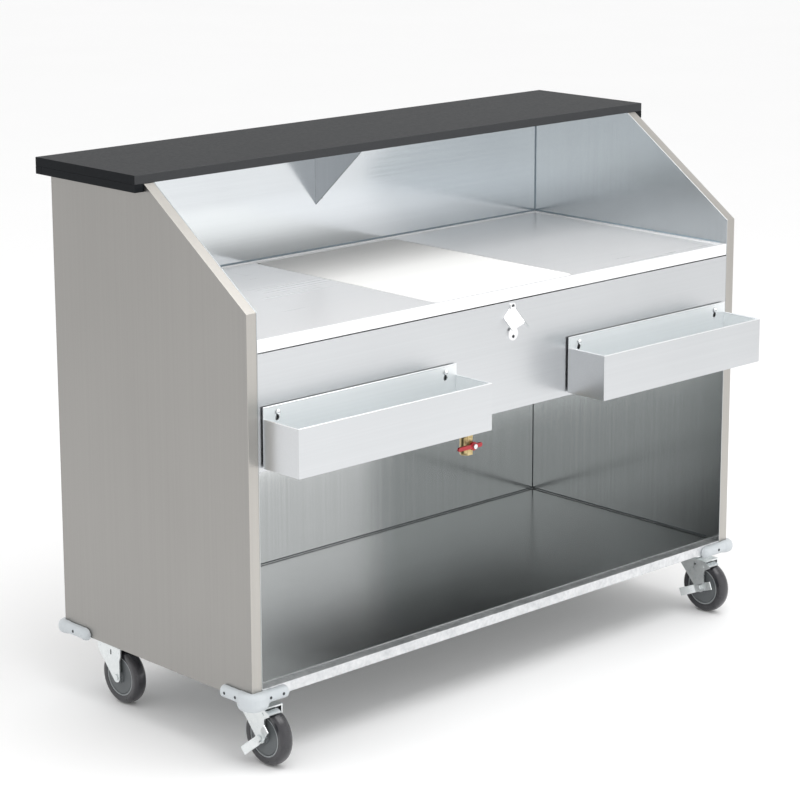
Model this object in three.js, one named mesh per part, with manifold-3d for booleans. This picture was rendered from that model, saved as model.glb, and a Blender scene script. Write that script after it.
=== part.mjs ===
// Portable stainless-steel service bar on four swivel casters: a work deck with a lidded ice bin, a raised
// guest counter, two lift-off bottle rails, a bottle opener, an open storage bay and a bin drain valve.
//
// Millimetres. X runs along the bar, Y from the bartender's side to the guests' side, Z up. Every function
// below works in bar coordinates, where y = 0 is the bartender-side face of the body; the last lines move the
// whole bar so that the origin is the bottom centre of its bounding box, on the floor.

import * as THREE from 'three';
import { mergeVertices } from 'three/addons/utils/BufferGeometryUtils.js';
import Module from 'manifold-3d';

const wasm = await Module();
wasm.setup();

// ---- driving dimensions -------------------------------------------------------------------------------

const SHEET = 2;                 // folded stainless sheet
const GAP = 0.3;                 // running or seating clearance between neighbours

const BODY_WIDTH = 1524;
const SIDE_DEPTH = 646;          // side panels, front face to the back panel
const BODY_DEPTH = SIDE_DEPTH + SHEET;
const BASE_Z = 152;              // underside of the panels and of the base rails
const KNEE_Z = 974;              // top of the upright part of the side panels
const COUNTER_Z = 1199.5;        // top of the panels, underside of the guest counter
const SLOPE_DEPTH = 322;         // the side panels slope back from the knee to here
const PANEL = 28;                // side panel thickness over both skins
const HALF = BODY_WIDTH / 2;
const INNER_HALF = HALF - PANEL; // inner faces of the side panels
const WALL_Y = 632;              // bartender-side face of the back wall

const DECK_Z = 914;              // work surface, 36 in high
const RIM_HEIGHT = 3;            // raised marine edge round the deck
const RIM_WIDTH = 8;
const LIP_Z = 890;               // lower edge of the deck's front lip
const APRON_TOP = 887.5;
const APRON_BOTTOM = 641;
const APRON_RETURN = 8;

const HATCH_HALF = 220;          // bin hatch in the deck
const HATCH_FRONT = 16;
const HATCH_REAR = 616;
const HATCH_RADIUS = 10;
const BOARD_THICKNESS = 12.7;
const BOARD_PLAY = 4;            // gap between the board and the hatch
const LEDGE_Z = DECK_Z - BOARD_THICKNESS - GAP;
const TUB_HALF = 200;            // inside of the ice bin
const TUB_FRONT = 36;
const TUB_REAR = 596;
const TUB_FLOOR = 673;
const INSULATION = 22;
const DRAIN_Y = 143;

const SHELF_Z = 175;
const BASE_RAIL = 28;

const TOP_THICKNESS = 19.5;
const TOP_OVERHANG = 24;         // past each side panel
const TOP_REAR = 670;
const TOP_DROP = 17;             // edge strips hang this far below the slab

const RAIL_REACH = 114;          // bottle rails stand this far out from the apron
const RAIL_STANDOFF = 4;
const RAIL_INNER_X = 178;
const RAIL_OUTER_X = 726;
const RAIL_BOTTOM = 649;
const RAIL_RIM = 751.5;
const RAIL_BACK_TOP = 777.5;
const KEYHOLES_X = [RAIL_INNER_X + 33.5, RAIL_OUTER_X - 37.5]; // nearer and farther from the middle
const KEYHOLE_Z = 763;
const KEYHOLE_DROP = 12.7;

const VALVE_Z = 533;

const WHEEL_RADIUS = 63.5;
const WHEEL_SIDES = 32;
const CASTER_LEAD = 38;          // swivel axis to axle
const AXLE = { y: -CASTER_LEAD, z: WHEEL_RADIUS };
const AXLE_RADIUS = 5;
const PIN_RADIUS = 6;
const CASTER_X = 706;
const CASTER_FRONT_Y = 52;
const CASTER_REAR_Y = 546;
const BRAKE_PIVOT = { y: -49, z: 119 };  // rivet of the brake shoe, from the swivel axis
const SHOE_LOCK = 2.5;           // degrees the shoe turns between released and locked

const FRONT_Y = (RAIL_REACH - TOP_REAR) / 2; // puts the origin in the middle of the bounding box

// ---- materials ----------------------------------------------------------------------------------------

const steel = () => finish(0xc9cdcf, 0.32, 1);
const darkSteel = () => finish(0x8a9093, 0.38, 1);
const zinc = () => finish(0xc8ccca, 0.42, 0.9);
const laminate = () => finish(0x3a3d40, 0.45, 0);
const whitePlastic = () => finish(0xf6f6f4, 0.5, 0);
const greyPlastic = () => finish(0xc2c7ca, 0.45, 0);
const foam = () => finish(0xe6d9a8, 0.9, 0);
const brass = () => finish(0xb7a06a, 0.35, 1);
const redVinyl = () => finish(0xc2242f, 0.4, 0);
const hubPlastic = () => finish(0x6d7172, 0.55, 0);
const tyreRubber = () => finish(0x34363a, 0.6, 0);

function finish(color, roughness, metalness) {
  return new THREE.MeshStandardMaterial({ color, roughness, metalness, flatShading: true });
}

// ---- shape helpers ------------------------------------------------------------------------------------

const CORNER_STEPS = 3;
const UNIT = { x: new THREE.Vector3(1, 0, 0), y: new THREE.Vector3(0, 1, 0), z: new THREE.Vector3(0, 0, 1) };

// Each outline is drawn in two of the bar's axes and extruded along the third: (y, z) along x, (x, z) along y
// or (x, y) along z.
function plate(outline, along, from, to, holes = [], curveSegments = 6) {
  const shape = outline.clone();
  shape.holes.push(...holes);
  const geometry = new THREE.ExtrudeGeometry(shape, { depth: to - from, bevelEnabled: false, curveSegments });
  const turned = new THREE.Matrix4();
  if (along === 'x') turned.makeBasis(UNIT.y, UNIT.z, UNIT.x).setPosition(from, 0, 0);
  if (along === 'y') turned.makeBasis(UNIT.x, UNIT.z, UNIT.y.clone().negate()).setPosition(0, to, 0);
  if (along === 'z') turned.makeTranslation(0, 0, from);
  return geometry.applyMatrix4(turned);
}

function box(x0, x1, y0, y1, z0, z1) {
  const geometry = new THREE.BoxGeometry(x1 - x0, y1 - y0, z1 - z0);
  return geometry.translate((x0 + x1) / 2, (y0 + y1) / 2, (z0 + z1) / 2);
}

function polygon(points) {
  return new THREE.Shape(points.map(([u, v]) => new THREE.Vector2(u, v)));
}

// Each rounded corner is drawn with CORNER_STEPS short edges.
function rectangle(u0, v0, u1, v1, radius = 0) {
  if (radius === 0) return polygon([[u0, v0], [u1, v0], [u1, v1], [u0, v1]]);
  const [left, right, low, high] = [u0 + radius, u1 - radius, v0 + radius, v1 - radius];
  const centres = [[right, low], [right, high], [left, high], [left, low]];
  const points = centres.flatMap(([u, v], corner) => {
    const steps = Array.from({ length: CORNER_STEPS + 1 }, (_, step) => corner - 1 + step / CORNER_STEPS);
    return steps.map((quarters) => {
      const angle = (quarters * Math.PI) / 2;
      return [u + radius * Math.cos(angle), v + radius * Math.sin(angle)];
    });
  });
  return polygon(points);
}

function circle(u, v, radius) {
  return new THREE.Shape().absarc(u, v, radius, 0, 2 * Math.PI);
}

function hexagon(u, v, acrossFlats) {
  const radius = acrossFlats / 2 / Math.cos(Math.PI / 6);
  const corners = [0, 1, 2, 3, 4, 5].map((i) => (i * Math.PI) / 3);
  return polygon(corners.map((a) => [u + radius * Math.cos(a), v + radius * Math.sin(a)]));
}

// The convex outline moved inwards by a distance: each edge shifts along its normal and meets the next.
function inset(points, distance) {
  const edges = points.map(([u, v], i) => {
    const [nextU, nextV] = points[(i + 1) % points.length];
    const length = Math.hypot(nextU - u, nextV - v);
    const normal = [-(nextV - v) / length, (nextU - u) / length];
    return { normal, offset: normal[0] * u + normal[1] * v + distance };
  });
  return edges.map((edge, i) => {
    const before = edges[(i + edges.length - 1) % edges.length];
    const determinant = before.normal[0] * edge.normal[1] - before.normal[1] * edge.normal[0];
    const u = (before.offset * edge.normal[1] - edge.offset * before.normal[1]) / determinant;
    const v = (before.normal[0] * edge.offset - before.offset * edge.normal[0]) / determinant;
    return [u, v];
  });
}

// A profile of [radius, x] points, closed on itself or ending on the axis, turned about the X axis.
function turnedAboutX(profile, sides) {
  const points = profile.map(([radius, x]) => new THREE.Vector2(radius, x));
  const geometry = new THREE.LatheGeometry(points, sides, Math.PI / sides);
  return geometry.rotateZ(-Math.PI / 2);
}

// A profile of [radius, z] points turned about the Z axis.
function turnedAboutZ(profile, sides) {
  const points = profile.map(([radius, z]) => new THREE.Vector2(radius, z));
  return new THREE.LatheGeometry(points, sides).rotateX(Math.PI / 2);
}

function toSolid(geometry) {
  const bare = geometry.clone();
  bare.deleteAttribute('normal');
  bare.deleteAttribute('uv');
  const merged = mergeVertices(bare, 1e-3);
  const vertProperties = merged.attributes.position.array;
  const triVerts = new Uint32Array(merged.index.array);
  return new wasm.Manifold(new wasm.Mesh({ numProp: 3, vertProperties, triVerts }));
}

function toGeometry(solid) {
  const { vertProperties, triVerts } = solid.getMesh();
  const geometry = new THREE.BufferGeometry();
  geometry.setAttribute('position', new THREE.BufferAttribute(new Float32Array(vertProperties), 3));
  geometry.setIndex(new THREE.BufferAttribute(new Uint32Array(triVerts), 1));
  return geometry;
}

function joined(...geometries) {
  return toGeometry(geometries.map(toSolid).reduce((whole, next) => whole.add(next)));
}

function cut(geometry, ...tools) {
  return toGeometry(tools.map(toSolid).reduce((whole, tool) => whole.subtract(tool), toSolid(geometry)));
}

function common(geometry, other) {
  return toGeometry(toSolid(geometry).intersect(toSolid(other)));
}

function piece(name, geometry, material) {
  const mesh = new THREE.Mesh(geometry, material);
  mesh.name = name;
  return mesh;
}

// ---- body ---------------------------------------------------------------------------------------------

const SIDE_OUTLINE = [
  [0, BASE_Z],
  [SIDE_DEPTH, BASE_Z],
  [SIDE_DEPTH, COUNTER_Z],
  [SLOPE_DEPTH, COUNTER_Z],
  [0, KNEE_Z],
];

// An outer skin folded in on every edge, closed by a flat liner on the inside.
function sidePanel(sideName, sign) {
  const span = (a, b) => (sign > 0 ? [a, b] : [-b, -a]);
  const seam = INNER_HALF + SHEET;
  const pan = plate(polygon(SIDE_OUTLINE), 'x', ...span(seam, HALF));
  const pocket = plate(polygon(inset(SIDE_OUTLINE, SHEET)), 'x', ...span(seam - 1, HALF - SHEET));
  const liner = plate(polygon(SIDE_OUTLINE), 'x', ...span(INNER_HALF, seam));
  return [
    piece(`side_panel_${sideName}`, cut(pan, pocket), steel()),
    piece(`side_liner_${sideName}`, liner, steel()),
  ];
}

// The guest-side panel covers the side panels' rear edges and folds in at the top and bottom.
function backPanels() {
  const linerY = WALL_Y + SHEET;
  const skin = box(-HALF, HALF, SIDE_DEPTH, BODY_DEPTH, BASE_Z, COUNTER_Z);
  const foldTop = box(-INNER_HALF, INNER_HALF, linerY, SIDE_DEPTH + 1, COUNTER_Z - SHEET, COUNTER_Z);
  const foldBottom = box(-INNER_HALF, INNER_HALF, linerY, SIDE_DEPTH + 1, BASE_Z, BASE_Z + SHEET);
  return [
    piece('back_panel', joined(skin, foldTop, foldBottom), steel()),
    piece('back_liner', box(-INNER_HALF, INNER_HALF, WALL_Y, linerY, BASE_Z, COUNTER_Z), steel()),
  ];
}

// A channel of BASE_RAIL depth: outline in (across, z), open on the inner side.
function channelOutline(outer, direction, top) {
  const inner = outer + direction * BASE_RAIL;
  const web = outer + direction * SHEET;
  return polygon([
    [outer, BASE_Z],
    [inner, BASE_Z],
    [inner, BASE_Z + SHEET],
    [web, BASE_Z + SHEET],
    [web, top - SHEET],
    [inner, top - SHEET],
    [inner, top],
    [outer, top],
  ]);
}

function baseRails() {
  const top = SHELF_Z - SHEET;
  const sideFrom = BASE_RAIL + SHEET;
  const sideTo = WALL_Y - BASE_RAIL;
  const front = plate(channelOutline(0, 1, SHELF_Z), 'x', -INNER_HALF, INNER_HALF);
  const rear = plate(channelOutline(WALL_Y, -1, top), 'x', -INNER_HALF, INNER_HALF);
  const left = plate(channelOutline(-INNER_HALF, 1, top), 'y', sideFrom, sideTo);
  const right = plate(channelOutline(INNER_HALF, -1, top), 'y', sideFrom, sideTo);
  return [
    piece('base_rail_front', front, steel()),
    piece('base_rail_rear', rear, darkSteel()),
    piece('base_rail_left', left, darkSteel()),
    piece('base_rail_right', right, darkSteel()),
  ];
}

// The storage floor: folded down behind the front rail, with a raised hem along its front edge.
function bottomShelf() {
  const hemWidth = 4;
  const hemHeight = 2;
  const outline = polygon([
    [BASE_RAIL, BASE_Z + SHEET],
    [BASE_RAIL + SHEET, BASE_Z + SHEET],
    [BASE_RAIL + SHEET, SHELF_Z - SHEET],
    [WALL_Y, SHELF_Z - SHEET],
    [WALL_Y, SHELF_Z],
    [BASE_RAIL + hemWidth, SHELF_Z],
    [BASE_RAIL + hemWidth, SHELF_Z + hemHeight],
    [BASE_RAIL, SHELF_Z + hemHeight],
  ]);
  return piece('bottom_shelf', plate(outline, 'x', -INNER_HALF, INNER_HALF), darkSteel());
}

// ---- work deck and ice bin ----------------------------------------------------------------------------

function hatch(grow, radius) {
  return rectangle(-HATCH_HALF - grow, HATCH_FRONT - grow, HATCH_HALF + grow, HATCH_REAR + grow, radius);
}

function workDeck() {
  const outer = rectangle(-INNER_HALF, 0, INNER_HALF, WALL_Y);
  const rimHalf = INNER_HALF - RIM_WIDTH;
  const insideRim = rectangle(-rimHalf, RIM_WIDTH, rimHalf, WALL_Y - RIM_WIDTH);
  const sheet = plate(outer, 'z', DECK_Z - SHEET, DECK_Z, [hatch(0, HATCH_RADIUS)]);
  const rim = plate(outer, 'z', DECK_Z - 1, DECK_Z + RIM_HEIGHT, [insideRim]);
  const lip = box(-INNER_HALF, INNER_HALF, 0, SHEET, LIP_Z, DECK_Z);
  const foldOutline = hatch(SHEET, HATCH_RADIUS + SHEET);
  const hatchFold = plate(foldOutline, 'z', LEDGE_Z, DECK_Z - 1, [hatch(0, HATCH_RADIUS)]);
  return piece('work_deck', joined(sheet, rim, lip, hatchFold), steel());
}

function apron() {
  const pan = box(-INNER_HALF, INNER_HALF, 0, APRON_RETURN, APRON_BOTTOM, APRON_TOP);
  const pocket = box(
    -INNER_HALF + SHEET,
    INNER_HALF - SHEET,
    SHEET,
    APRON_RETURN + 1,
    APRON_BOTTOM + SHEET,
    APRON_TOP - SHEET,
  );
  const studs = KEYHOLES_X.flatMap((x) => [hangingStud(-x), hangingStud(x)]);
  return piece('apron_panel', joined(cut(pan, pocket), ...studs), steel());
}

// Headed stud that a bottle rail hangs on.
function hangingStud(x) {
  const headFrom = -RAIL_STANDOFF - SHEET - 1;
  const shank = plate(circle(x, KEYHOLE_Z, 2.5), 'y', headFrom - 1, 1);
  const head = plate(circle(x, KEYHOLE_Z, 5), 'y', headFrom - 2.5, headFrom);
  return joined(shank, head);
}

function cuttingBoard() {
  const outline = hatch(-BOARD_PLAY, 12);
  const board = plate(outline, 'z', LEDGE_Z + GAP, DECK_Z);
  return piece('cutting_board', board, whitePlastic());
}

function tubRectangle(grow, radius) {
  return rectangle(-TUB_HALF - grow, TUB_FRONT - grow, TUB_HALF + grow, TUB_REAR + grow, radius);
}

function iceBin() {
  const drainHole = (z0, z1) => plate(circle(0, DRAIN_Y, 11 + GAP), 'z', z0, z1);
  const flangeZ = LEDGE_Z - SHEET;
  const tubWalls = plate(tubRectangle(SHEET, 22), 'z', TUB_FLOOR - SHEET, LEDGE_Z - 1, [tubRectangle(0, 20)]);
  const tubFloor = plate(tubRectangle(1, 21), 'z', TUB_FLOOR - SHEET, TUB_FLOOR);
  const ledge = rectangle(-HATCH_HALF - 16, 10, HATCH_HALF + 16, HATCH_REAR + 8);
  const flange = plate(ledge, 'z', flangeZ, LEDGE_Z, [tubRectangle(0, 20)]);
  const tub = cut(joined(tubWalls, tubFloor, flange), drainHole(TUB_FLOOR - 5, TUB_FLOOR + 5));

  const foamFloor = TUB_FLOOR - SHEET - INSULATION;
  const foamBlock = plate(tubRectangle(SHEET + INSULATION, 24), 'z', foamFloor, flangeZ);
  const foamPocket = plate(tubRectangle(SHEET, 22), 'z', TUB_FLOOR - SHEET, flangeZ + 1);
  const foamHole = drainHole(foamFloor - 1, TUB_FLOOR);
  const jacketGrow = SHEET + INSULATION + SHEET;
  const jacketBlock = plate(tubRectangle(jacketGrow, 26), 'z', foamFloor - SHEET, flangeZ);
  const jacketPocket = plate(tubRectangle(SHEET + INSULATION, 24), 'z', foamFloor, flangeZ + 1);
  const jacketHole = drainHole(foamFloor - SHEET - 1, foamFloor + 1);
  return [
    piece('ice_bin_tub', tub, steel()),
    piece('ice_bin_insulation', cut(foamBlock, foamPocket, foamHole), foam()),
    piece('ice_bin_jacket', cut(jacketBlock, jacketPocket, jacketHole), darkSteel()),
  ];
}

// ---- drain valve --------------------------------------------------------------------------------------

const VALVE = {
  length: 47, hexFlats: 27, hexLength: 13, barrel: 15, ball: 11.5, bore: 7, stem: 3.5, bonnet: 18,
  reach: 22,
};

function valveBody() {
  const bottom = VALVE_Z - VALVE.length / 2;
  const top = VALVE_Z + VALVE.length / 2;
  const hex = hexagon(0, DRAIN_Y, VALVE.hexFlats);
  const bonnet = plate(circle(0, VALVE_Z, 8), 'y', DRAIN_Y - VALVE.bonnet, DRAIN_Y);
  const outside = joined(
    plate(hex, 'z', bottom, bottom + VALVE.hexLength),
    plate(hex, 'z', top - VALVE.hexLength, top),
    plate(circle(0, DRAIN_Y, VALVE.barrel), 'z', bottom + 5, top - 5, [], 10),
    bonnet,
  );
  const bore = plate(circle(0, DRAIN_Y, VALVE.bore), 'z', bottom - 1, top + 1);
  const chamber = new THREE.SphereGeometry(VALVE.ball + 0.5, 14, 10).translate(0, DRAIN_Y, VALVE_Z);
  const stemHole = plate(circle(0, VALVE_Z, VALVE.stem + GAP), 'y', DRAIN_Y - 30, DRAIN_Y);
  return piece('valve_body', cut(outside, bore, chamber, stemHole), brass());
}

// The handle lies across the pipe at rest, so the ball's bore lies across it too and the valve is shut.
function valveMovingPieces() {
  const ballSphere = new THREE.SphereGeometry(VALVE.ball, 14, 10).translate(0, DRAIN_Y, VALVE_Z);
  const ballBore = plate(circle(DRAIN_Y, VALVE_Z, VALVE.bore - 0.5), 'x', -20, 20);
  const stemInner = DRAIN_Y - VALVE.ball - GAP;
  const handleBack = DRAIN_Y - VALVE.reach;
  const handleFront = handleBack - 5;
  const stem = plate(circle(0, VALVE_Z, VALVE.stem), 'y', handleFront - 4, stemInner);
  const nut = plate(hexagon(0, VALVE_Z, 11), 'y', handleFront - 5, handleFront - GAP);
  const handle = joined(
    plate(circle(0, VALVE_Z, 10), 'y', handleFront, handleBack + 3),
    plate(rectangle(-50, VALVE_Z - 5, 26, VALVE_Z + 5, 4.5), 'y', handleFront, handleBack),
  );
  const handleHole = plate(circle(0, VALVE_Z, VALVE.stem + GAP), 'y', handleFront - 1, handleBack + 4);
  return [
    piece('valve_ball', cut(ballSphere, ballBore), steel()),
    piece('valve_stem', joined(stem, nut), zinc()),
    piece('valve_handle', cut(handle, handleHole), redVinyl()),
  ];
}

function drain() {
  const bore = circle(0, DRAIN_Y, VALVE.bore);
  const valveTop = VALVE_Z + VALVE.length / 2;
  const nipple = plate(circle(0, DRAIN_Y, 11), 'z', valveTop, TUB_FLOOR, [bore]);
  return [piece('drain_nipple', nipple, brass()), valveBody(), ...valveMovingPieces()];
}

// ---- guest counter ------------------------------------------------------------------------------------

function guestCounter() {
  const end = HALF + TOP_OVERHANG;
  const dropZ = COUNTER_Z - TOP_DROP;
  const slab = box(-end, end, SLOPE_DEPTH, TOP_REAR, COUNTER_Z, COUNTER_Z + TOP_THICKNESS);
  const stripLeft = box(-end, -HALF, SLOPE_DEPTH, BODY_DEPTH, dropZ, COUNTER_Z);
  const stripRight = box(HALF, end, SLOPE_DEPTH, BODY_DEPTH, dropZ, COUNTER_Z);
  const stripRear = box(-end, end, BODY_DEPTH, TOP_REAR, dropZ, COUNTER_Z);
  return [
    piece('bar_top', slab, laminate()),
    piece('bar_top_edge_left', stripLeft, laminate()),
    piece('bar_top_edge_right', stripRight, laminate()),
    piece('bar_top_edge_rear', stripRear, laminate()),
  ];
}

// Triangular bracket under the counter, with one flange on the wall and one under the slab.
function counterGusset() {
  const x = -15;
  const halfThickness = 1.5;
  const legDown = 175;
  const legOut = 195;
  const flange = 20;
  const flangeSetBack = 12;
  const wallFlangeZ = COUNTER_Z - legDown + flangeSetBack;
  const topFlangeY = WALL_Y - legOut + flangeSetBack;
  const web = polygon([
    [WALL_Y - legOut, COUNTER_Z],
    [WALL_Y, COUNTER_Z - legDown],
    [WALL_Y, COUNTER_Z],
  ]);
  const gusset = joined(
    plate(web, 'x', x - halfThickness, x + halfThickness),
    box(x - halfThickness, x + flange, WALL_Y - SHEET, WALL_Y, wallFlangeZ, COUNTER_Z),
    box(x - halfThickness, x + flange, topFlangeY, WALL_Y, COUNTER_Z - SHEET, COUNTER_Z),
  );
  return piece('counter_gusset', gusset, steel());
}

// ---- bottle rails and opener --------------------------------------------------------------------------

function bottleRail(sideName, sign) {
  const [x0, x1] = sign > 0 ? [RAIL_INNER_X, RAIL_OUTER_X] : [-RAIL_OUTER_X, -RAIL_INNER_X];
  const backY = -RAIL_STANDOFF;
  const trough = box(x0, x1, -RAIL_REACH, backY, RAIL_BOTTOM, RAIL_RIM);
  const [frontY, floorZ] = [-RAIL_REACH, RAIL_BOTTOM];
  const hollow = box(x0 + SHEET, x1 - SHEET, frontY + SHEET, backY - SHEET, floorZ + SHEET, RAIL_RIM + 1);
  const back = box(x0, x1, backY - SHEET, backY, RAIL_BOTTOM, RAIL_BACK_TOP);
  const rail = cut(joined(cut(trough, hollow), back), ...KEYHOLES_X.map((x) => keyhole(sign * x)));
  return piece(`bottle_rail_${sideName}`, rail, steel());
}

// The stud sits in the narrow slot; lifting the rail brings its head to the round hole.
function keyhole(x) {
  const slot = rectangle(x - 3, KEYHOLE_Z - KEYHOLE_DROP, x + 3, KEYHOLE_Z + 3.2, 2.9);
  const round = circle(x, KEYHOLE_Z - KEYHOLE_DROP, 6);
  const depth = [-RAIL_STANDOFF - SHEET - 1, -RAIL_STANDOFF + 1];
  return joined(plate(slot, 'y', ...depth), plate(round, 'y', ...depth));
}

// Cast opener: a screw ear above, a gable hood that slopes out from the apron, a round foot below.
const OPENER = { top: 884, foot: 814, footRadius: 15, half: 26, ridge: 37, wing: 26, drop: 25, skin: 3,
  slope: 0.86, ridgeZ: 879 };

function bottleOpener() {
  const { top, foot, footRadius, half, ridge, wing } = OPENER;
  const ear = plate(rectangle(-8, top - 24, 8, top, 7), 'y', -3, 0);
  const spine = box(-7, 7, -3, 0, foot, top - 16);
  const disc = plate(circle(0, foot, footRadius), 'y', -4, 0, [], 10);
  const mouth = polygon([[-half, 0], [-half, -wing], [0, -ridge], [half, -wing], [half, 0]]);
  const hood = common(openerGable(), plate(mouth, 'z', foot, top));
  return piece('bottle_opener', joined(ear, spine, disc, hood), zinc());
}

// A roof-shaped skin whose ridge and wings all fall at one slope as they leave the apron.
function openerGable() {
  const { half, ridge, drop, skin, slope, ridgeZ } = OPENER;
  const across = (u) => (-drop * Math.abs(u)) / half;
  const outer = [-half - 1, 0, half + 1].map((u) => [u, ridgeZ + across(u)]);
  const inner = [half + 1, 0, -half - 1].map((u) => [u, ridgeZ + across(u) - skin * Math.SQRT2]);
  const roof = plate(polygon([...outer, ...inner]), 'y', -ridge - 1, 0);
  const fall = new THREE.Matrix4().set(1, 0, 0, 0, 0, 1, 0, 0, 0, slope, 1, 0, 0, 0, 0, 1);
  return roof.applyMatrix4(fall);
}

// ---- corner bumpers -----------------------------------------------------------------------------------

const BUMPER = { bottom: 145, top: 172, proud: 15, arm: 88, elbowBottom: 134, elbowTop: 173, bulb: 96,
  bulbRadius: 17 };
const COLLAR = { radius: 34, setIn: 12 };   // raised elbow of the bumpers with plain ends
const BEND = { radius: 25, setIn: 6 };      // flush elbow of the bumpers with bulb ends

// Drawn for the corner at the origin with the body in the quadrant x > 0, y > 0, then mirrored into place.
function cornerBumper(name, cornerX, cornerY, bulbEnds) {
  const { bottom, top, proud, arm, elbowBottom, elbowTop, bulb, bulbRadius } = BUMPER;
  const { radius, setIn } = bulbEnds ? BEND : COLLAR;
  const middle = (bottom + top) / 2;
  const armProfile = rectangle(-proud, bottom, proud, top, 11);
  const end = bulbEnds ? bulb - bulbRadius : arm;
  const armAlongX = plate(armProfile.clone(), 'x', 0, end);
  const armAlongY = plate(armProfile.clone(), 'y', 0, end);
  const [lowZ, highZ] = bulbEnds ? [bottom - 2, top + 1] : [elbowBottom, elbowTop];
  const elbow = turnedAboutZ([[0, lowZ], [radius - 9, lowZ], [radius - 3, lowZ + 4], [radius, lowZ + 11],
    [radius, highZ - 11], [radius - 3, highZ - 4], [radius - 9, highZ], [0, highZ]], 24);
  const shapes = [armAlongX, armAlongY, elbow.translate(setIn, setIn, 0)];
  if (bulbEnds) {
    for (const [x, y] of [[end, 0], [0, end]]) {
      const ball = new THREE.SphereGeometry(bulbRadius, 14, 10).scale(1, 1, 0.9);
      shapes.push(ball.translate(x, y, middle - 1));
    }
  }
  const body = box(0, 200, 0, 200, 0, 400);
  const bumper = cut(joined(...shapes), body);
  const signX = cornerX < 0 ? 1 : -1;
  const signY = cornerY < BODY_DEPTH / 2 ? 1 : -1;
  return piece(name, mirroredToCorner(bumper, signX, signY, cornerX, cornerY), greyPlastic());
}

// Mirroring once turns a closed shape inside out, so its triangles are turned back.
function mirroredToCorner(geometry, signX, signY, cornerX, cornerY) {
  geometry.scale(signX, signY, 1).translate(cornerX, cornerY, 0);
  if (signX * signY < 0) {
    const index = geometry.index.array;
    for (let i = 0; i < index.length; i += 3) {
      [index[i], index[i + 1]] = [index[i + 1], index[i]];
    }
  }
  return geometry;
}

function bumpers() {
  return [
    cornerBumper('bumper_front_left', -HALF, 0, false),
    cornerBumper('bumper_front_right', HALF, 0, true),
    cornerBumper('bumper_rear_left', -HALF, BODY_DEPTH, true),
    cornerBumper('bumper_rear_right', HALF, BODY_DEPTH, false),
  ];
}

// ---- casters ------------------------------------------------------------------------------------------
// Each caster is drawn round its own swivel axis, with the wheel trailing towards the bartender's side.

const FORK = { half: 24, leg: 3.5, crownBottom: 129, crownTop: 132.5, front: -54, rear: 28 };

function casterPlate(name) {
  const mount = plate(rectangle(-51, -51, 51, 51, 8), 'z', BASE_Z - 4, BASE_Z);
  const race = turnedAboutZ([[0, FORK.crownTop + GAP], [24, FORK.crownTop + GAP], [27, 141], [25, BASE_Z - 3],
    [0, BASE_Z - 3]], 16);
  const kingpin = plate(circle(0, 0, PIN_RADIUS), 'z', FORK.crownBottom - 3, FORK.crownTop + 1);
  const rivetHead = plate(circle(0, 0, 9), 'z', FORK.crownBottom - 5, FORK.crownBottom - GAP);
  return piece(name, joined(mount, race, kingpin, rivetHead), zinc());
}

function casterFork(name, braked) {
  const legShape = new THREE.Shape();
  legShape.moveTo(FORK.rear, FORK.crownTop);
  legShape.lineTo(FORK.front, FORK.crownTop);
  legShape.lineTo(FORK.front, 114);
  legShape.lineTo(-50, 104);
  legShape.absarc(AXLE.y, AXLE.z, 12, Math.PI, 1.75 * Math.PI);
  legShape.lineTo(FORK.rear, 118);
  const crown = box(-FORK.half, FORK.half, FORK.front, FORK.rear, FORK.crownBottom, FORK.crownTop);
  const leftLeg = plate(legShape, 'x', -FORK.half, FORK.leg - FORK.half);
  const rightLeg = plate(legShape, 'x', FORK.half - FORK.leg, FORK.half);
  const pinHole = plate(circle(0, 0, PIN_RADIUS + GAP), 'z', FORK.crownBottom - 1, FORK.crownTop + 1);
  const axleHole = plate(circle(AXLE.y, AXLE.z, AXLE_RADIUS + GAP), 'x', -FORK.half - 1, FORK.half + 1);
  const window = braked ? circle(-21, 120, 3) : rectangle(-22, 112, -18, 124, 1.5);
  const legHole = plate(window, 'x', -FORK.half - 1, FORK.half + 1);
  return piece(name, cut(joined(crown, leftLeg, rightLeg), pinHole, axleHole, legHole), zinc());
}

function casterAxle(name, braked) {
  const nutFrom = FORK.half + (braked ? 3.2 : GAP);
  const reach = braked ? 6 : 2.5;
  const centre = [AXLE.y, AXLE.z];
  const shaft = plate(circle(...centre, AXLE_RADIUS), 'x', -nutFrom - 1, FORK.half + 1);
  const outline = braked ? hexagon(...centre, 14) : circle(...centre, 7);
  const nut = plate(outline.clone(), 'x', -nutFrom - reach, -nutFrom);
  const head = plate(outline.clone(), 'x', FORK.half + GAP, FORK.half + reach);
  return piece(name, joined(shaft, nut, head), zinc());
}

function casterWheel(prefix) {
  const half = [[6.5, 19.5], [14, 19.5], [15, 13.5], [40, 13.5], [41, 10], [42, 14.5], [44.7, 14.5]];
  const hubProfile = [...half.map(([r, x]) => [r, -x]), ...half.reverse(), [6.5, -19.5]];
  const circumscribed = 1 / Math.cos(Math.PI / WHEEL_SIDES);
  const shoulder = [[45, -15], [58, -16], [62, -12.5], [WHEEL_RADIUS, -7]];
  const tread = [...shoulder, ...shoulder.map(([r, x]) => [r, -x]).reverse(), shoulder[0]];
  const tyreProfile = tread.map(([r, x]) => [r * circumscribed, x]);
  const onAxle = (geometry) => geometry.translate(0, AXLE.y, AXLE.z);
  return [
    piece(`${prefix}_hub`, onAxle(turnedAboutX(hubProfile, WHEEL_SIDES)), hubPlastic()),
    piece(`${prefix}_tyre`, onAxle(turnedAboutX(tyreProfile, WHEEL_SIDES)), tyreRubber()),
  ];
}

// Turns a geometry about a line along X through (y, z).
function turnedAt(geometry, { y, z }, degrees) {
  return geometry.translate(0, -y, -z).rotateX(THREE.MathUtils.degToRad(degrees)).translate(0, y, z);
}

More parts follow.
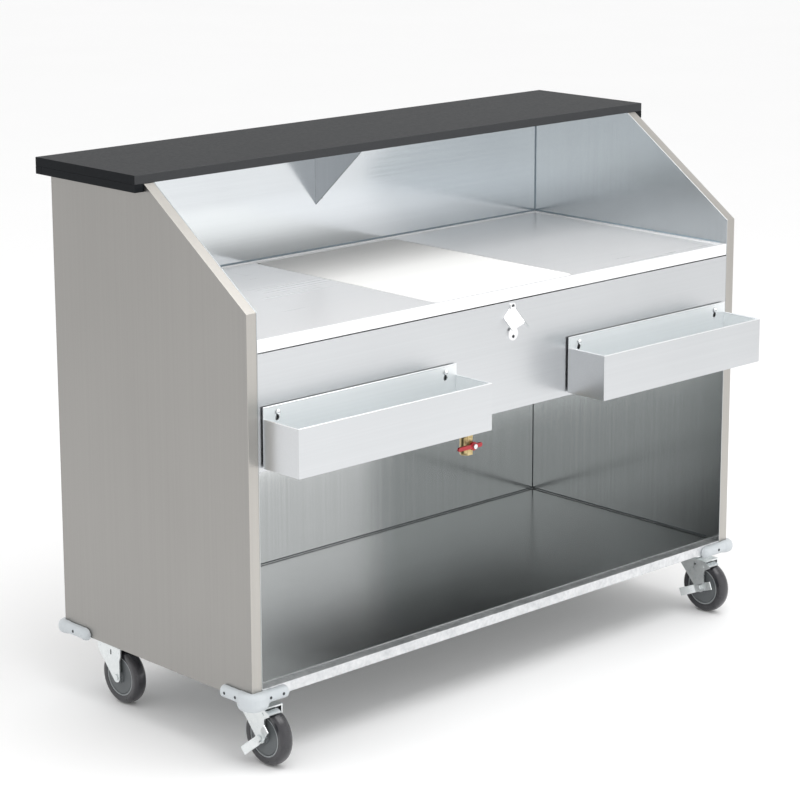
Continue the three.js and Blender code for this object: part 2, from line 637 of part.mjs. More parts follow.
// Two bent wings on a flat middle that turns on the axle; pressing a wing down locks or frees the wheel.
function brakeLever(name, tilt) {
  const inner = -FORK.half - GAP;
  const outline = polygon([[inner, -22], [inner - 2.5, -22], [inner - 9, -34], [inner - 15, -52],
    [inner - 17.4, -51], [inner - 11.5, -32.5], [inner - 5.5, -20], [inner - 2.5, -14],
    [inner - 2.5, 14], [inner - 5.5, 20], [inner - 11.5, 32.5], [inner - 17.4, 51],
    [inner - 15, 52], [inner - 9, 34], [inner - 2.5, 22], [inner, 22]]);
  const bent = plate(outline, 'z', -10, 10);
  const hole = plate(circle(0, 0, AXLE_RADIUS + GAP), 'x', inner - 10, inner + 1);
  const lever = cut(bent, hole).translate(0, AXLE.y, AXLE.z);
  return piece(name, turnedAt(lever, AXLE, tilt), zinc());
}

// A curved plate over the tread, on one cheek riveted to the fork's lever side.
function brakeShoe(name, tilt) {
  const inner = -FORK.half - 0.4;
  const outer = inner - 3;
  const from = THREE.MathUtils.degToRad(107);
  const to = THREE.MathUtils.degToRad(119);
  const arc = new THREE.Shape();
  arc.absarc(AXLE.y, AXLE.z, WHEEL_RADIUS + 5, from, to);
  arc.absarc(AXLE.y, AXLE.z, WHEEL_RADIUS + 2, to, from, true);
  const saddle = plate(arc, 'x', outer, 6);
  const { y, z } = BRAKE_PIVOT;
  const cheekShape = polygon([[y + 7, z - 7], [y + 7, z + 6], [y - 5, z + 12], [y - 20, z + 6], [y - 20, z],
    [y - 8, z - 7]]);
  const cheek = plate(cheekShape, 'x', outer, inner);
  const rivet = plate(circle(y, z, 4), 'x', outer - 1.5, outer + 1);
  return piece(name, turnedAt(joined(saddle, cheek, rivet), BRAKE_PIVOT, tilt), zinc());
}

function caster(prefix, x, y, brake) {
  const group = new THREE.Group();
  group.position.set(x, y, 0);
  group.add(casterPlate(`${prefix}_plate`), casterFork(`${prefix}_fork`, Boolean(brake)));
  group.add(casterAxle(`${prefix}_axle`, Boolean(brake)), ...casterWheel(prefix));
  if (brake) {
    group.add(brakeLever(`${prefix}_brake_lever`, brake.lever));
    group.add(brakeShoe(`${prefix}_brake_shoe`, brake.shoe));
  }
  return group;
}

function casters() {
  return [
    caster('caster_front_left', -CASTER_X, CASTER_FRONT_Y, { lever: -43, shoe: SHOE_LOCK }),
    caster('caster_front_right', CASTER_X, CASTER_FRONT_Y, { lever: -22, shoe: 0 }),
    caster('caster_rear_left', -CASTER_X, CASTER_REAR_Y, null),
    caster('caster_rear_right', CASTER_X, CASTER_REAR_Y, null),
  ];
}

// ---- assembly -----------------------------------------------------------------------------------------

const bar = new THREE.Group();
bar.add(...sidePanel('left', -1), ...sidePanel('right', 1), ...backPanels());
bar.add(...baseRails(), bottomShelf());
bar.add(workDeck(), apron(), cuttingBoard(), ...iceBin(), ...drain());
bar.add(...guestCounter(), counterGusset());
bar.add(bottleRail('left', -1), bottleRail('right', 1), bottleOpener());
bar.add(...bumpers(), ...casters());
bar.position.y = FRONT_Y;

export default bar;
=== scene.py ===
"""Looks of a portable stainless-steel service bar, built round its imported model.

Every length is in metres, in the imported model's own frame: X runs along the bar, -Y faces the bartender and
Z is up. Sub-assemblies are classes, finishes are frozen dataclasses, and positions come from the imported
model.
"""

import logging
import math
from dataclasses import dataclass, field
from enum import Enum
from typing import Callable, Iterable, Sequence

import bmesh
import bpy
from mathutils import Matrix, Vector


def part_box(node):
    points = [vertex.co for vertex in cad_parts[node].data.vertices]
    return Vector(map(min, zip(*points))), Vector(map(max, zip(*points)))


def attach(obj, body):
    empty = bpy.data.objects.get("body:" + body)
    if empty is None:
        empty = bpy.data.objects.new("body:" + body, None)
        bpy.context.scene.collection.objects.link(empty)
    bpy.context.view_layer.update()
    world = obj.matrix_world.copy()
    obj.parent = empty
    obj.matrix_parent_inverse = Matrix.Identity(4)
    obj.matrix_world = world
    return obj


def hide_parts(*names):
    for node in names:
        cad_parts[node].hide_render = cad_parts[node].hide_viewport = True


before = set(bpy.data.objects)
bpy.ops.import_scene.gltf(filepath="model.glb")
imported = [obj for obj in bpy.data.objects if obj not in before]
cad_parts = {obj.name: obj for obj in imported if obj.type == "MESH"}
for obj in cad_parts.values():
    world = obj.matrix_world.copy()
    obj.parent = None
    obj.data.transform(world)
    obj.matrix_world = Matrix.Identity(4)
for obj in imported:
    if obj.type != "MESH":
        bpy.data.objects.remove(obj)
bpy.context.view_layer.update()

log = logging.getLogger("service_bar")

MM = 0.001
SIDES = ("front_left", "front_right", "rear_left", "rear_right")
BRAKED = ("front_left", "front_right")


class Axis(Enum):
    """An axis of the bar's frame, as the index of its coordinate."""

    X = 0
    Y = 1
    Z = 2

    @property
    def unit(self) -> Vector:
        """The unit vector along the axis."""
        return Vector([1.0 if i == self.value else 0.0 for i in range(3)])


# ---- materials ----------------------------------------------------------------------------------------


def srgb(code: str) -> tuple[float, float, float, float]:
    """Turns an sRGB hex colour to linear.

    Args:
        code: Six hex digits.

    Returns:
        Linear red, green, blue and an alpha of 1.
    """
    parts = [int(code[i : i + 2], 16) / 255 for i in (0, 2, 4)]
    linear = [c / 12.92 if c <= 0.04045 else ((c + 0.055) / 1.055) ** 2.4 for c in parts]
    return (*linear, 1.0)


def add_node(tree: bpy.types.NodeTree, kind: str, settings: dict | None = None, **inputs) -> bpy.types.Node:
    """Adds a node with its settings and its inputs.

    Args:
        tree: The tree that gets the node.
        kind: The node's type, such as ShaderNodeTexNoise.
        settings: The node's properties by name.
        **inputs: A value or an output socket for each input, spaces written as underscores.

    Returns:
        The new node.
    """
    made = tree.nodes.new(kind)
    for name, value in (settings or {}).items():
        setattr(made, name, value)
    for name, value in inputs.items():
        socket = made.inputs[name.replace("_", " ")]
        if isinstance(value, bpy.types.NodeSocket):
            tree.links.new(value, socket)
        else:
            socket.default_value = value
    return made


def per_metre(size_mm: float) -> float:
    """The texture scale that repeats once in size_mm."""
    return 1000.0 / size_mm


@dataclass(frozen=True)
class Finish:
    """A surface: what it is made of, how it was made, and how that shows."""

    name: str
    colour: str
    shade: str
    roughness: tuple[float, float]
    metallic: float = 0.0
    mottle_mm: float = 60.0
    grain_mm: tuple[float, float, float] = (1.5, 1.5, 1.5)
    bump_mm: float = 0.05
    coat: float = 0.0
    coat_roughness: float = 0.1
    sheen: float = 0.0
    specular: float = 0.5

    def build(self) -> bpy.types.Material:
        """Makes the material, or finds it if it was made before.

        Returns:
            The material, with mottled colour, varied roughness and a fine relief.
        """
        known = bpy.data.materials.get(self.name)
        if known:
            return known
        made = bpy.data.materials.new(self.name)
        made.use_nodes = True
        tree = made.node_tree
        tree.nodes.clear()
        place = add_node(tree, "ShaderNodeTexCoord").outputs["Object"]
        mottle = add_node(tree, "ShaderNodeTexNoise", Vector=place, Scale=per_metre(self.mottle_mm),
                          Detail=3.0)
        stretch = add_node(tree, "ShaderNodeMapping", Vector=place,
                           Scale=[per_metre(s) for s in self.grain_mm])
        grain = add_node(tree, "ShaderNodeTexNoise", Vector=stretch.outputs[0], Scale=1.0, Detail=2.0)
        blend = add_node(tree, "ShaderNodeMix", {"data_type": "FLOAT"}, Factor=0.5, A=mottle.outputs[0],
                         B=grain.outputs[0])
        colour = add_node(tree, "ShaderNodeValToRGB", Fac=blend.outputs[0])
        colour.color_ramp.elements[0].position = 0.3
        colour.color_ramp.elements[0].color = srgb(self.shade)
        colour.color_ramp.elements[1].position = 0.7
        colour.color_ramp.elements[1].color = srgb(self.colour)
        rough = add_node(tree, "ShaderNodeMapRange", Value=blend.outputs[0], From_Min=0.3, From_Max=0.7,
                         To_Min=self.roughness[0], To_Max=self.roughness[1])
        bump = add_node(tree, "ShaderNodeBump", Height=grain.outputs[0], Distance=self.bump_mm * MM,
                        Strength=0.5)
        surface = add_node(tree, "ShaderNodeBsdfPrincipled", Base_Color=colour.outputs[0],
                           Metallic=self.metallic, Roughness=rough.outputs[0],
                           Normal=bump.outputs[0], Coat_Weight=self.coat,
                           Coat_Roughness=self.coat_roughness, Sheen_Weight=self.sheen,
                           Specular_IOR_Level=self.specular)
        add_node(tree, "ShaderNodeOutputMaterial", Surface=surface.outputs[0])
        return made


# Brushed stainless: the belt leaves fine parallel lines. They are about 0.1 mm apart on the real sheet and
# are drawn 5 mm apart and 700 mm long, so that they show at all.
GRAIN_ACROSS, GRAIN_ALONG = 5.0, 700.0


def stainless(name: str, along: Axis, colour: str, shade: str, roughness: tuple[float, float],
              metallic: float = 1.0) -> Finish:
    """Brushed stainless sheet whose lines run along one axis.

    Args:
        name: The material's name.
        along: The axis that the lines run along.
        colour: The lighter colour.
        shade: The darker colour.
        roughness: The lowest and highest roughness.
        metallic: Below one to draw part of the sheet as a pale diffuse surface: painted light.

    Returns:
        The finish.
    """
    grain = [GRAIN_ACROSS] * 3
    grain[along.value] = GRAIN_ALONG
    return Finish(name, colour, shade, roughness, metallic=metallic, mottle_mm=350.0, grain_mm=tuple(grain),
                  bump_mm=0.003)


STEEL_X = stainless("stainless_brushed_along", Axis.X, "d3d5d7", "cdcfd1", (0.28, 0.34))
# Inside the troughs the sheet is drawn much paler and part-diffuse: painted light inside the troughs.
STEEL_TROUGH_PAINTED_LIGHT = stainless("stainless_trough_inside_painted_light", Axis.X, "f3f6f7", "edf0f1", (0.34, 0.42), metallic=0.65)
# The deck is drawn near white and part-diffuse: painted light on the deck, and on the bin tub that shares it.
STEEL_DECK_PAINTED_LIGHT = stainless("stainless_deck_painted_light", Axis.X, "fdfdfe", "f8f9fa", (0.26, 0.34), metallic=0.45)
# The broad upright sides are drawn dark grey, darker than the other sheets: painted shade.
STEEL_Z_PAINTED_SHADE = stainless("stainless_upright_painted_shade", Axis.Z, "a3a19e", "9c9a97", (0.34, 0.42))
# The folded returns are drawn paler than the broad sides: painted light on the faces that turn to the front.
STEEL_RETURN_PAINTED_LIGHT = stainless("stainless_return_painted_light", Axis.Z, "bab7b2", "b3b0ab", (0.30, 0.36))
# The back wall is drawn pale, painted light; the side walls are drawn darker, painted shade.
STEEL_WALL_PAINTED_LIGHT = stainless("stainless_wall_painted_light", Axis.X, "e3e7ea", "dce0e3", (0.13, 0.18))
STEEL_SIDE_WALL_PAINTED_SHADE = stainless("stainless_side_wall_painted_shade", Axis.Z, "ccd1d4", "c5cacd", (0.18, 0.24))
# The shelf is drawn darker than the bay's walls: painted shade on the bay's floor.
STEEL_FLOOR_PAINTED_SHADE = stainless("stainless_shelf_painted_shade", Axis.X, "b2b4b4", "abadad", (0.16, 0.22))
# Inside the storage bay the back wall is drawn smooth and paler than any other wall: painted light in the dim
# bay. The bay's sides are drawn darker: painted shade.
STEEL_PAINTED_LIGHT_BAY = stainless("stainless_painted_light_bay", Axis.Z, "f1f3f3", "eaecec", (0.13, 0.18))
STEEL_PAINTED_SHADE_BAY_SIDE = stainless("stainless_painted_shade_bay_side", Axis.Z, "bfc2c2", "b8bbbb", (0.14, 0.20))
# Dark beads in the bay's inside corners: painted shade where the bay's sheets meet.
SEAM_PAINTED_SHADE = Finish("bay_corner_painted_shade", "3f4549", "33383b", (0.5, 0.65), mottle_mm=20.0, bump_mm=0.02)
STEEL_GUSSET = stainless("stainless_gusset", Axis.Z, "b9bcbf", "b1b4b7", (0.26, 0.34))
# The folded rims are drawn near white, a painted highlight, so they show as a thin white line.
STEEL_HEM_PAINTED_HIGHLIGHT = Finish("stainless_hem_painted_highlight", "f8f9fa", "f0f2f3", (0.20, 0.30),
                   metallic=1.0, mottle_mm=30.0, bump_mm=0.01)
# Hot-dip galvanised channel: a cloudy patchwork of light and dark zinc crystals.
GALVANISED = Finish("galvanised_channel", "ecedee", "c8cacc", (0.38, 0.52), metallic=1.0, mottle_mm=26.0,
                    grain_mm=(9.0, 9.0, 9.0), bump_mm=0.02)
# Grey-blue silicone run along the wet joints, smoothed with a finger.
SEALANT = Finish("silicone_sealant", "97a6af", "8795a0", (0.35, 0.5), mottle_mm=20.0, bump_mm=0.02)
# Bright zinc plate on pressed steel: a faint bluish, slightly cloudy shine.
ZINC = Finish("zinc_plated_steel", "eef1f1", "dce1e2", (0.24, 0.38),
              metallic=1.0, mottle_mm=14.0, bump_mm=0.03)
# Cast or stamped opener, barrel plated, so brighter and smoother than sheet.
NICKEL = Finish("nickel_plated_steel", "fbfbfb", "f2f3f4", (0.16, 0.28),
                metallic=1.0, mottle_mm=9.0, bump_mm=0.02)
# High pressure laminate with a fine crystal texture: a broad soft sheen over near black.
LAMINATE = Finish("charcoal_laminate", "1f2124", "181a1c", (0.40, 0.50), mottle_mm=8.0,
                  grain_mm=(1.2, 1.2, 1.2), bump_mm=0.04, specular=0.05)
# The slab's front faces are drawn lighter and more reflective than the top: painted light on the faces that
# turn to the front.
LAMINATE_FRONT_PAINTED_LIGHT = Finish("charcoal_laminate_edge", "26282b", "1f2124", (0.30, 0.38), mottle_mm=8.0,
                       grain_mm=(1.2, 1.2, 1.2), bump_mm=0.03, specular=0.45)
# High density polyethylene sheet, planed: milky white with a soft grain.
POLYETHYLENE = Finish("white_polyethylene", "fcfcfb", "f6f6f4", (0.42, 0.55), mottle_mm=90.0,
                      grain_mm=(2.0, 2.0, 2.0))
# Injection moulded grey vinyl with a fine spark-eroded texture.
BUMPER_VINYL = Finish("grey_moulded_vinyl", "c9ced1", "bfc5c9", (0.40, 0.52), mottle_mm=40.0,
                      grain_mm=(0.9, 0.9, 0.9), bump_mm=0.04)
# Cast polyurethane tread: dark, slightly glossy from its mould.
TREAD = Finish("polyurethane_tread", "2f2e33", "242428", (0.24, 0.36), mottle_mm=25.0,
               grain_mm=(1.0, 1.0, 1.0), coat=0.5, coat_roughness=0.22)
# The centre's rim, outside the groove, is paler than the disc.
HUB_RIM = Finish("nylon_wheel_rim", "a4a8aa", "8d9193", (0.35, 0.48), mottle_mm=20.0,
                 grain_mm=(0.8, 0.8, 0.8))
# Glass-filled nylon wheel centre.
HUB_NYLON = Finish("nylon_wheel_centre", "65696b", "575b5d", (0.45, 0.60), mottle_mm=20.0,
                   grain_mm=(0.8, 0.8, 0.8))
# Forged and turned brass, gone a little dull.
BRASS = Finish("forged_brass", "d9c79c", "b7a06a", (0.26, 0.42), metallic=1.0, mottle_mm=12.0)
# Dip-coated vinyl: soft gloss over a thick red skin.
RED_DIP = Finish("red_vinyl_dip", "d02533", "a8141f", (0.28, 0.40), mottle_mm=12.0, coat=0.2,
                 coat_roughness=0.2)
FOAM = Finish("polyurethane_foam", "e6d9a8", "d8c98f", (0.8, 0.95), mottle_mm=15.0, grain_mm=(1.0, 1.0, 1.0),
              bump_mm=0.4)
DARK_SCREW = Finish("blackened_screw", "55585a", "3d4042", (0.35, 0.5), metallic=1.0, mottle_mm=3.0)
FLOOR_PAINT = Finish("pale_floor", "fdfdfd", "fbfbfb", (0.8, 0.9), mottle_mm=900.0, bump_mm=0.01)


# ---- mesh helpers -------------------------------------------------------------------------------------


def soften(bm: bmesh.types.BMesh, width: float, segments: int = 3, sharper_than: float = 25.0) -> None:
    """Rounds every edge that is sharper than an angle.

    Args:
        bm: The mesh to round.
        width: The bevel's width.
        segments: How many faces cross the round.
        sharper_than: The smallest angle between two faces that counts, in degrees.
    """
    limit = math.radians(sharper_than)
    edges = [e for e in bm.edges if len(e.link_faces) == 2 and e.calc_face_angle(0.0) > limit]
    bmesh.ops.bevel(bm, geom=edges, offset=width, offset_type="OFFSET", affect="EDGES", segments=segments,
                    profile=0.5, material=-1, clamp_overlap=True)


def to_frame(along: Axis, u: float, v: float, w: float) -> Vector:
    """Places (u, v) across an axis and w along it: (y, z, x), (x, z, y) or (x, y, z)."""
    order = {Axis.X: (w, u, v), Axis.Y: (u, w, v), Axis.Z: (u, v, w)}
    return Vector(order[along])


def prism(bm: bmesh.types.BMesh, outline: Sequence[tuple[float, float]], along: Axis, low: float,
          high: float) -> list[bmesh.types.BMVert]:
    """Extrudes an outline along an axis.

    Args:
        bm: The mesh that gets the prism.
        outline: Corner points, drawn across the axis.
        along: The axis to extrude along.
        low: Where it starts.
        high: Where it ends.

    Returns:
        The prism's vertices.
    """
    base = [bm.verts.new(to_frame(along, u, v, low)) for u, v in outline]
    face = bm.faces.new(base)
    grown = bmesh.ops.extrude_face_region(bm, geom=[face])["geom"]
    top = [g for g in grown if isinstance(g, bmesh.types.BMVert)]
    bmesh.ops.translate(bm, vec=along.unit * (high - low), verts=top)
    faces = {f for v in base + top for f in v.link_faces}
    bmesh.ops.recalc_face_normals(bm, faces=list(faces))
    return base + top


def turned(bm: bmesh.types.BMesh, profile: Sequence[tuple[float, float]], along: Axis, centre: Vector,
           steps: int = 64) -> list[bmesh.types.BMVert]:
    """Spins a profile of (radius, distance along the axis) points about an axis.

    Args:
        bm: The mesh that gets the turned shape.
        profile: The points; the ends lie on the axis or the profile is closed.
        along: The axis to spin about.
        centre: A point on that axis, where the distance is 0.
        steps: Faces round the shape.

    Returns:
        The shape's vertices.
    """
    across = Axis((along.value + 1) % 3).unit
    known = set(bm.verts)
    points = [bm.verts.new(centre + across * r + along.unit * w) for r, w in profile]
    edges = [bm.edges.new(pair) for pair in zip(points, points[1:])]
    if profile[0][0] > 0 and profile[-1][0] > 0:
        edges.append(bm.edges.new((points[-1], points[0])))
    bmesh.ops.spin(bm, geom=points + edges, cent=centre, axis=along.unit, angle=2 * math.pi, steps=steps,
                   use_merge=True)
    made = [v for v in bm.verts if v not in known]
    bmesh.ops.remove_doubles(bm, verts=made, dist=1e-6)
    made = [v for v in bm.verts if v not in known]
    bmesh.ops.recalc_face_normals(bm, faces=list({f for v in made for f in v.link_faces}))
    return made


@dataclass
class Maker:
    """Turns finished bmeshes into pieces of the bar and counts them."""

    made: list[str] = field(default_factory=list)

    def piece(self, name: str, bm: bmesh.types.BMesh, finish: Finish, body: str,
              replaces: Iterable[str] = (), crease: float = 40.0, second: Finish | None = None,
              where: Callable[[Vector, Vector], bool] | None = None) -> bpy.types.Object:
        """Makes a piece that rides on a body.

        Args:
            name: The piece's name.
            bm: Its mesh, which is freed here.
            finish: Its surface.
            body: The body that it moves with.
            replaces: The nodes that it stands for.
            crease: Edges sharper than this stay sharp, in degrees.
            second: Another finish, for some of its faces.
            where: Tells from a face's centre and normal whether it has the second finish.

        Returns:
            The new object.
        """
        mesh = bpy.data.meshes.new(name)
        for face in bm.faces:
            face.smooth = True
        bm.to_mesh(mesh)
        bm.free()
        mesh.set_sharp_from_angle(angle=math.radians(crease))
        made = bpy.data.objects.new(name, mesh)
        bpy.context.scene.collection.objects.link(made)
        mesh.materials.append(finish.build())
        weighted = made.modifiers.new("face_weighted_normals", "WEIGHTED_NORMAL")
        weighted.keep_sharp = True
        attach(made, body)
        if replaces:
            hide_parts(*replaces)
        if second and where:
            mesh.materials.append(second.build())
            for face in mesh.polygons:
                face.material_index = int(where(face.center, face.normal))
        self.made.append(name)
        log.info("%s on %s: %d faces", name, body, len(mesh.polygons))
        return made

    def from_node(self, name: str, node: str, finish: Finish, body: str, radius: float,
                  segments: int = 3, split_z: float | None = None, second: Finish | None = None,
                  where: Callable[[Vector, Vector], bool] | None = None) -> bpy.types.Object:
        """Stands a merged, softened copy of a node in its place.

        Args:
            name: The new piece's name.
            node: The node that is copied and replaced.
            finish: Its surface.
            body: The body that it moves with.
            radius: How round its edges are.
            segments: How many faces cross each round.
            split_z: A height at which its faces are divided, so that two finishes can meet there.
            second: Another finish, for some of its faces.
            where: Tells from a face's centre and normal whether it has the second finish.

        Returns:
            The new object.
        """
        bm = bmesh.new()
        bm.from_mesh(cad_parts[node].data)
        bmesh.ops.remove_doubles(bm, verts=bm.verts, dist=1e-5)
        bmesh.ops.dissolve_limit(bm, angle_limit=math.radians(0.5), verts=bm.verts, edges=bm.edges,
                                 use_dissolve_boundaries=False)
        soften(bm, radius, segments)
        if split_z is not None:
            everything = bm.verts[:] + bm.edges[:] + bm.faces[:]
            bmesh.ops.bisect_plane(bm, geom=everything, dist=1e-6, plane_co=(0, 0, split_z),
                                   plane_no=(0, 0, 1))
        return self.piece(name, bm, finish, body, [node], second=second, where=where)


# ---- sub-assemblies -----------------------------------------------------------------------------------


@dataclass
class SheetBody:
    """The folded stainless body: panels, walls, rails, shelf, deck, apron and gusset."""

    bend: float = 1.2 * MM
    liner_edge: float = 0.4 * MM
    bead: float = 3.0 * MM
    seam: float = 2.0 * MM
    deck_sheet: float = 4 * MM
    bead_start: float = 20 * MM
    seam_start: float = 12 * MM
    seam_top: float = 45 * MM

    def build(self, maker: Maker) -> None:
        """Softens every sheet along its bends and dresses it."""
        deck_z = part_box("work_deck")[1].z - self.deck_sheet

        def is_in_bay(centre: Vector, normal: Vector) -> bool:
            """Whether a face is below the deck."""
            return centre.z < deck_z

        for side in ("left", "right"):
            # Faces that don't face sideways get the paler return finish, painted light; the broad sides carry
            # painted shade.
            maker.from_node(f"side_skin_{side}", f"side_panel_{side}", STEEL_Z_PAINTED_SHADE, "body", self.bend,
                            second=STEEL_RETURN_PAINTED_LIGHT, where=lambda centre, normal: abs(normal.x) < 0.9)
            # The linings are drawn darker than the back wall, above the deck and below it: painted shade.
            maker.from_node(f"side_lining_{side}", f"side_liner_{side}", STEEL_SIDE_WALL_PAINTED_SHADE, "body",
                            self.liner_edge, split_z=deck_z, second=STEEL_PAINTED_SHADE_BAY_SIDE, where=is_in_bay)
            maker.from_node(f"base_channel_{side}", f"base_rail_{side}", GALVANISED, "body", 0.5 * MM)
        maker.from_node("guest_skin", "back_panel", STEEL_Z_PAINTED_SHADE, "body", 0.5 * MM)
        # The back wall is drawn pale above the deck and paler still below it: painted light.
        maker.from_node("back_wall", "back_liner", STEEL_WALL_PAINTED_LIGHT, "body", self.liner_edge,
                        split_z=deck_z, second=STEEL_PAINTED_LIGHT_BAY, where=is_in_bay)
        maker.from_node("base_channel_front", "base_rail_front", GALVANISED, "body", 0.8 * MM)
        maker.from_node("base_channel_rear", "base_rail_rear", GALVANISED, "body", 0.5 * MM)
        # The shelf is drawn darker than the bay's walls: painted shade.
        maker.from_node("storage_floor", "bottom_shelf", STEEL_FLOOR_PAINTED_SHADE, "body", 0.5 * MM)
        maker.from_node("deck", "work_deck", STEEL_DECK_PAINTED_LIGHT, "body", 0.9 * MM)
        maker.from_node("apron", "apron_panel", STEEL_X, "body", 0.7 * MM)
        maker.from_node("gusset", "counter_gusset", STEEL_GUSSET, "body", 0.5 * MM)
        # The tub gets the deck's pale sheet: painted light inside the tub.
        maker.from_node("bin_tub", "ice_bin_tub", STEEL_DECK_PAINTED_LIGHT, "body", 0.5 * MM)
        maker.from_node("bin_jacket", "ice_bin_jacket", STEEL_FLOOR_PAINTED_SHADE, "body", 0.5 * MM)
        self.sealant(maker)
        self.seams(maker)
        maker.from_node("bin_foam", "ice_bin_insulation", FOAM, "body", 0.5 * MM)

    def sealant(self, maker: Maker) -> None:
        """Runs a bead of sealant along the joints round the deck and up the rear corners."""
        deck_low, deck_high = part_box("work_deck")
        wall_low, wall_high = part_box("back_liner")
        rear, top = wall_low.y, deck_high.z
        left, right = deck_low.x, deck_high.x
        runs = {
            "rear": (Axis.X, (rear, top), (-1, 1), left, right),
            "left": (Axis.Y, (left, top), (1, 1), deck_low.y + self.bead_start, rear),
            "right": (Axis.Y, (right, top), (-1, 1), deck_low.y + self.bead_start, rear),
            "corner_left": (Axis.Z, (left, rear), (1, -1), top, wall_high.z),
            "corner_right": (Axis.Z, (right, rear), (-1, -1), top, wall_high.z),
        }
        for name, (along, corner, inwards, low, high) in runs.items():
            self.bead_along(maker, f"sealant_{name}", SEALANT, self.bead, along, corner, inwards, low, high)

    def seams(self, maker: Maker) -> None:
        """Runs the dark seams, painted shade, round the storage bay's floor and up its rear corners."""
        left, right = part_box("side_liner_left")[1].x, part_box("side_liner_right")[0].x
        rear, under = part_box("back_liner")[0].y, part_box("work_deck")[1].z - self.seam_top
        front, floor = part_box("bottom_shelf")[0].y + self.seam_start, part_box("bottom_shelf")[1].z
        runs = {
            "rear": (Axis.X, (rear, floor), (-1, 1), left, right),
            "left": (Axis.Y, (left, floor), (1, 1), front, rear),
            "right": (Axis.Y, (right, floor), (-1, 1), front, rear),
            "corner_left": (Axis.Z, (left, rear), (1, -1), floor, under),
            "corner_right": (Axis.Z, (right, rear), (-1, -1), floor, under),
        }
        for name, (along, corner, inwards, low, high) in runs.items():
            self.bead_along(maker, f"bay_seam_{name}", SEAM_PAINTED_SHADE, self.seam, along, corner, inwards, low, high)

    def bead_along(self, maker: Maker, name: str, finish: Finish, size: float, along: Axis,
                   corner: tuple[float, float], inwards: tuple[int, int], low: float, high: float) -> None:
        """Fills an inside corner with a hollow-faced bead.

        Args:
            maker: What makes the piece.
            name: The piece's name.
            finish: Its material.
            size: How far it reaches from the corner.
            along: The axis it runs along.
            corner: The corner's place on the other two axes.
            inwards: Which way the corner opens on each.
            low: Where it starts.
            high: Where it ends.
        """
        (u, v), (du, dv) = corner, inwards
        bm = bmesh.new()
        arc = [math.pi / 2 * step / 4 for step in range(5)]
        hollow = [(u + du * size * (1 - math.sin(a)), v + dv * size * (1 - math.cos(a))) for a in arc]
        prism(bm, [(u, v), *hollow], along, low, high)
        maker.piece(name, bm, finish, "body")


@dataclass
class GuestCounter:
    """The laminate slab and the strips that drop below its edges."""

    edge: float = 1.0 * MM

    def build(self, maker: Maker) -> None:
        """Softens the slab and its strips and dresses them."""
        # The slab's front faces get the lighter, more reflective finish: painted light.
        maker.from_node("counter_slab", "bar_top", LAMINATE, "body", self.edge,
                        second=LAMINATE_FRONT_PAINTED_LIGHT, where=lambda centre, normal: normal.y < -0.5)
        for side in ("left", "right", "rear"):
            maker.from_node(f"counter_drop_{side}", f"bar_top_edge_{side}", LAMINATE, "body",
                            0.7 * MM)


@dataclass
class CuttingBoard:
    """The loose white board over the ice bin."""

    edge: float = 1.6 * MM

    def build(self, maker: Maker) -> None:
        """Rounds the board's edges and dresses it."""
        maker.from_node("board", "cutting_board", POLYETHYLENE, "cutting_board",
                        self.edge, 4)


